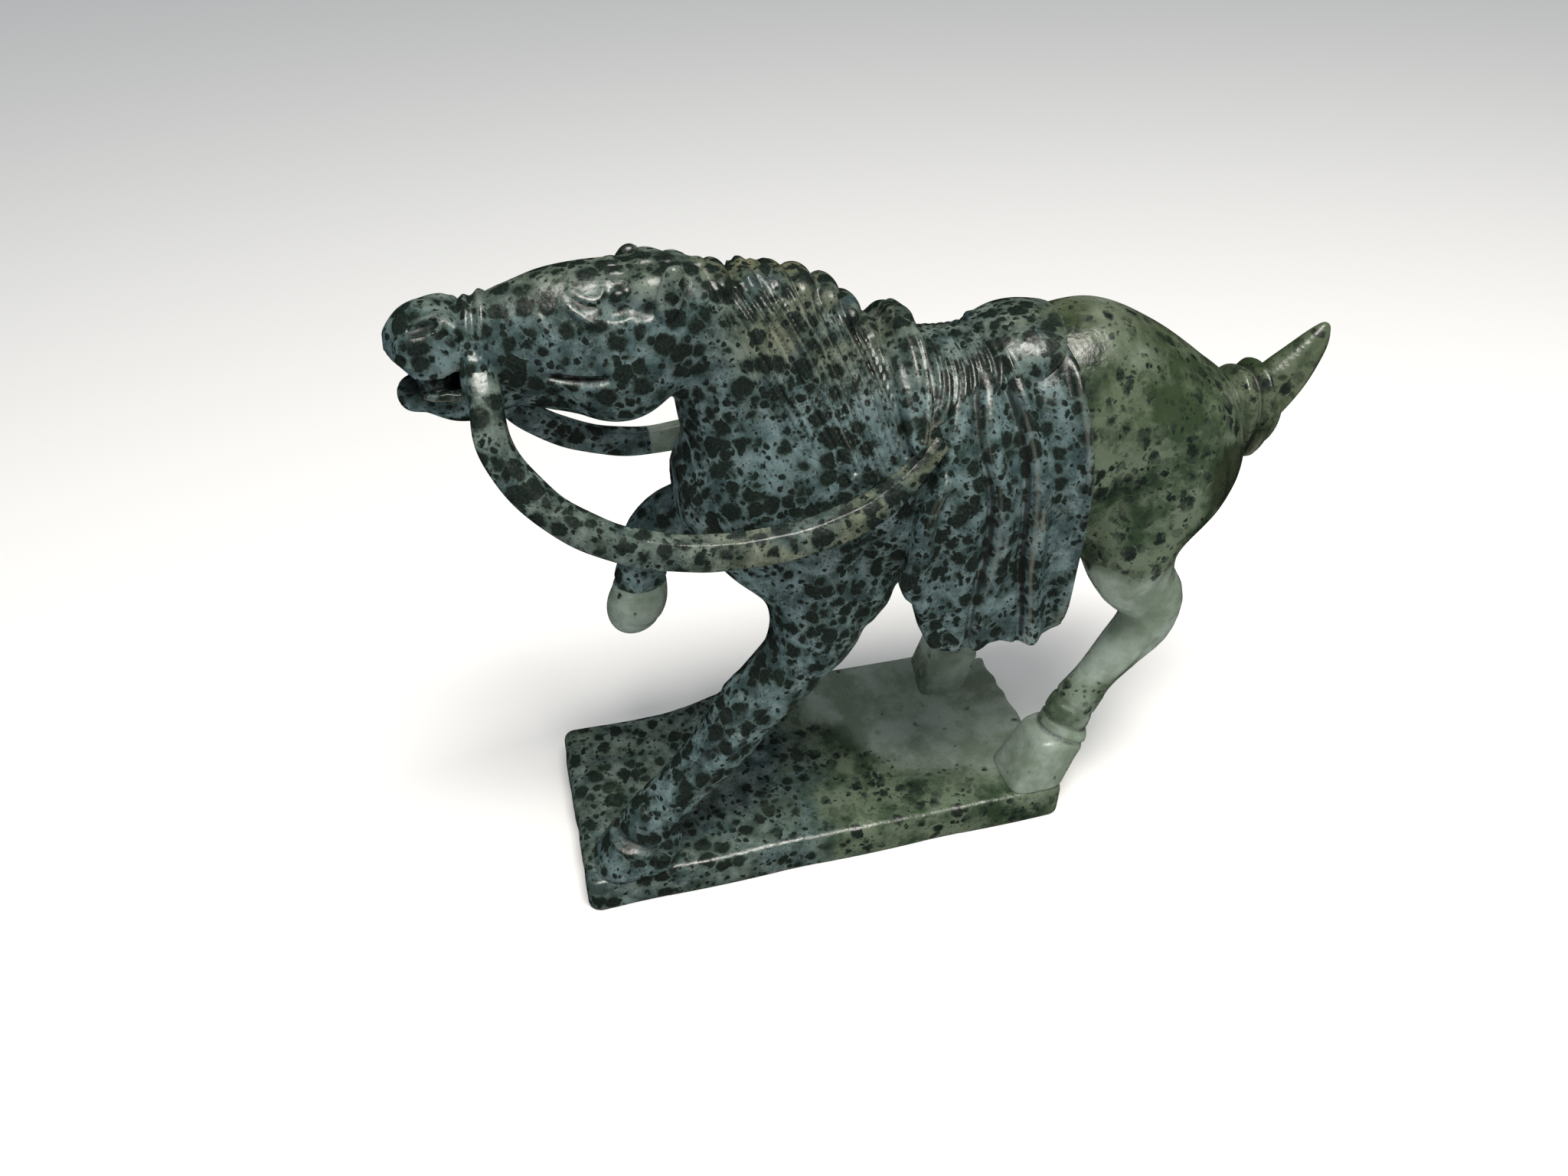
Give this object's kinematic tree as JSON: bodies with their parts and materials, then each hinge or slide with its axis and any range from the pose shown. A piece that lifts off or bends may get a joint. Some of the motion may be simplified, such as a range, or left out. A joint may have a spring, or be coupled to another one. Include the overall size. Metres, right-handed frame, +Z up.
{
  "type": "jade figurine",
  "caption": "Carved green stone figurine of a striding horse with saddle cloth and open-work reins on a rectangular slab plinth; rests on its flat underside.",
  "frame": {"origin": "centre of the plinth's flat underside", "axes": "+Z up; X along the plinth's long side with the horse facing -X; the horse's left side is -Y"},
  "size_m": [0.1995, 0.0535, 0.1484],
  "materials": {
    "dark_stone": "polished, black-green blotches on blue-grey-green",
    "body_stone": "polished, dark mottle fading to olive and celadon",
    "olive_stone": "polished, olive green",
    "grey_stone": "polished, pale grey-green with dark specks",
    "pale_stone": "polished, slightly translucent celadon",
    "plinth_stone": "satin, dark at one end and celadon at the other"
  },
  "bodies": {
    "root": {"plinth": "plinth_stone", "torso": "body_stone", "neck": "dark_stone", "mane": "dark_stone", "forelock": "dark_stone", "head": "dark_stone", "lower_jaw": "dark_stone", "noseband": "dark_stone", "saddle": "dark_stone", "saddle_cloth": "dark_stone", "tail_knot": "olive_stone", "tail_tip": "olive_stone", "left_ear": "dark_stone", "right_ear": "dark_stone", "left_rein": "dark_stone", "right_rein": "dark_stone", "left_foreleg": "dark_stone", "right_foreleg": "grey_stone", "left_hind_leg": "pale_stone", "right_hind_leg": "pale_stone", "left_fore_hoof": "dark_stone", "right_fore_hoof": "grey_stone", "left_hind_hoof": "pale_stone", "right_hind_hoof": "pale_stone"}
  },
  "joints": []
}
